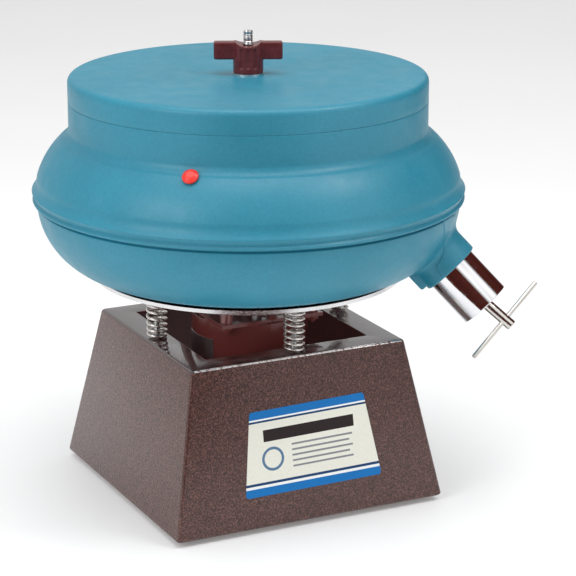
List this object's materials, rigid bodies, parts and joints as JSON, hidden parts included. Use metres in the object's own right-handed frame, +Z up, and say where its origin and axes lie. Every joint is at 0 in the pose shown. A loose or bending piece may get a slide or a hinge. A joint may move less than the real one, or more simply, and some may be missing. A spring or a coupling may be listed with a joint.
{
  "type": "vibratory rock tumbler",
  "caption": "Ring-shaped lidded bowl with a plugged discharge spout, shaken by a hanging motor with eccentric weights on coil springs over a tapered square sheet-steel base.",
  "frame": {"origin": "on the bowl's axis, in the plane that the undersides of the rubber feet stand on", "axes": "+Z up along the bowl's axis; -Y is the side of the base with the front label; +X is to the right of someone facing that label"},
  "size_m": [0.3699, 0.3498, 0.3785],
  "materials": {
    "hammered_paint": "hammered maroon paint",
    "printed_label": "printed film",
    "black_rubber": "matt",
    "black_nylon": "matt",
    "spring_wire": "bright drawn wire",
    "zinc_fasteners": "zinc plated",
    "bright_steel": "satin",
    "blue_moulding": "satin moulded",
    "red_vinyl": "soft gloss",
    "chrome_plate": "polished",
    "nickel_steel": "polished",
    "maroon_plastic": "satin moulded",
    "brass": "turned",
    "motor_paint": "satin paint",
    "foil_label": "brushed foil",
    "laminations": "stacked sheet",
    "enamelled_copper": "varnished wire",
    "bearing_steel": "ground",
    "cast_weight": "as cast"
  },
  "bodies": {
    "base": {"base_housing": "hammered_paint", "rubber_feet": "black_rubber", "front_label": "printed_label", "cord_gland": "black_nylon", "lower_spring_screws": "zinc_fasteners", "lower_spring_nuts": "zinc_fasteners", "spring_right": "spring_wire", "spring_back": "spring_wire", "spring_left": "spring_wire", "spring_front": "spring_wire"},
    "rotor": {"rotor_core": "laminations", "motor_shaft": "bearing_steel", "upper_weight": "cast_weight", "upper_set_screw": "zinc_fasteners"},
    "adjustable_weight": {"lower_weight": "cast_weight", "lower_set_screw": "zinc_fasteners"},
    "lid": {"lid": "blue_moulding"},
    "washer": {"knob_washer": "zinc_fasteners"},
    "knob": {"wing_knob": "maroon_plastic", "knob_insert": "brass"},
    "discharge_plug": {"plug_cap": "chrome_plate", "expansion_ring": "black_rubber"},
    "t_handle": {"draw_screw": "nickel_steel", "t_handle_bar": "nickel_steel"},
    "draw_plate": {"draw_plate": "bright_steel"},
    "flow_plug": {"flow_plug": "red_vinyl"},
    "carriage": {"bowl": "blue_moulding", "bowl_nut": "zinc_fasteners", "bowl_washer": "zinc_fasteners", "centre_stud": "zinc_fasteners", "discharge_tube": "chrome_plate", "lower_bearing": "bearing_steel", "motor_bottom_bell": "motor_paint", "motor_can": "motor_paint", "motor_label": "foil_label", "motor_screw_nuts": "zinc_fasteners", "motor_screws": "zinc_fasteners", "motor_standoffs": "zinc_fasteners", "motor_through_bolt_nuts": "zinc_fasteners", "motor_through_bolts": "zinc_fasteners", "motor_top_plate": "motor_paint", "stator": "laminations", "stator_windings": "enamelled_copper", "stud_lock_nut": "zinc_fasteners", "support_pan": "bright_steel", "upper_bearing": "bearing_steel", "upper_spring_studs": "zinc_fasteners"}
  },
  "joints": [
    {"name": "bounce", "type": "slide", "parent": "base", "child": "carriage", "axis": [0, 0, 1], "range_m": [-0.006, 0.003], "stiffness_N_per_m": 35900, "springref_m": 0.00181, "deforming": ["spring_right", "spring_back", "spring_left", "spring_front"]},
    {"name": "rotor_spin", "type": "hinge", "parent": "carriage", "child": "rotor", "pos_m": [0, 0, 0.116], "axis": [0, 0, 1], "continuous": true},
    {"name": "weight_adjust", "type": "hinge", "parent": "rotor", "child": "adjustable_weight", "pos_m": [0, 0, 0.066], "axis": [0, 0, 1], "range_deg": [0, 180]},
    {"name": "lid_lift", "type": "slide", "parent": "carriage", "child": "lid", "axis": [0, 0, 1], "range_m": [0, 0.08]},
    {"name": "knob_rise", "type": "slide", "parent": "lid", "child": "washer", "axis": [0, 0, 1], "range_m": [0, 0.0085]},
    {"name": "knob_turn", "type": "hinge", "parent": "washer", "child": "knob", "pos_m": [0, 0, 0.355], "axis": [0, 0, 1], "range_deg": [0, 2160]},
    {"name": "plug_pull", "type": "slide", "parent": "carriage", "child": "discharge_plug", "axis": [0.5417, -0.4545, -0.7071], "range_m": [0, 0.06]},
    {"name": "t_handle_turn", "type": "hinge", "parent": "discharge_plug", "child": "t_handle", "pos_m": [0.14942, -0.12537, 0.16683], "axis": [0.5953, -0.4995, -0.6293], "range_deg": [0, 1440]},
    {"name": "draw_plate_shift", "type": "slide", "parent": "discharge_plug", "child": "draw_plate", "axis": [-0.5953, 0.4995, 0.6293], "range_m": [0, 0.0057]},
    {"name": "flow_plug_pull", "type": "slide", "parent": "carriage", "child": "flow_plug", "axis": [-0.439, -0.491, 0.7524], "range_m": [0, 0.012]}
  ],
  "couplings": [
    {"joint": "knob_rise", "follows": "knob_turn", "m_per_rad": 0.00022458},
    {"joint": "draw_plate_shift", "follows": "t_handle_turn", "m_per_rad": 0.00022458}
  ]
}
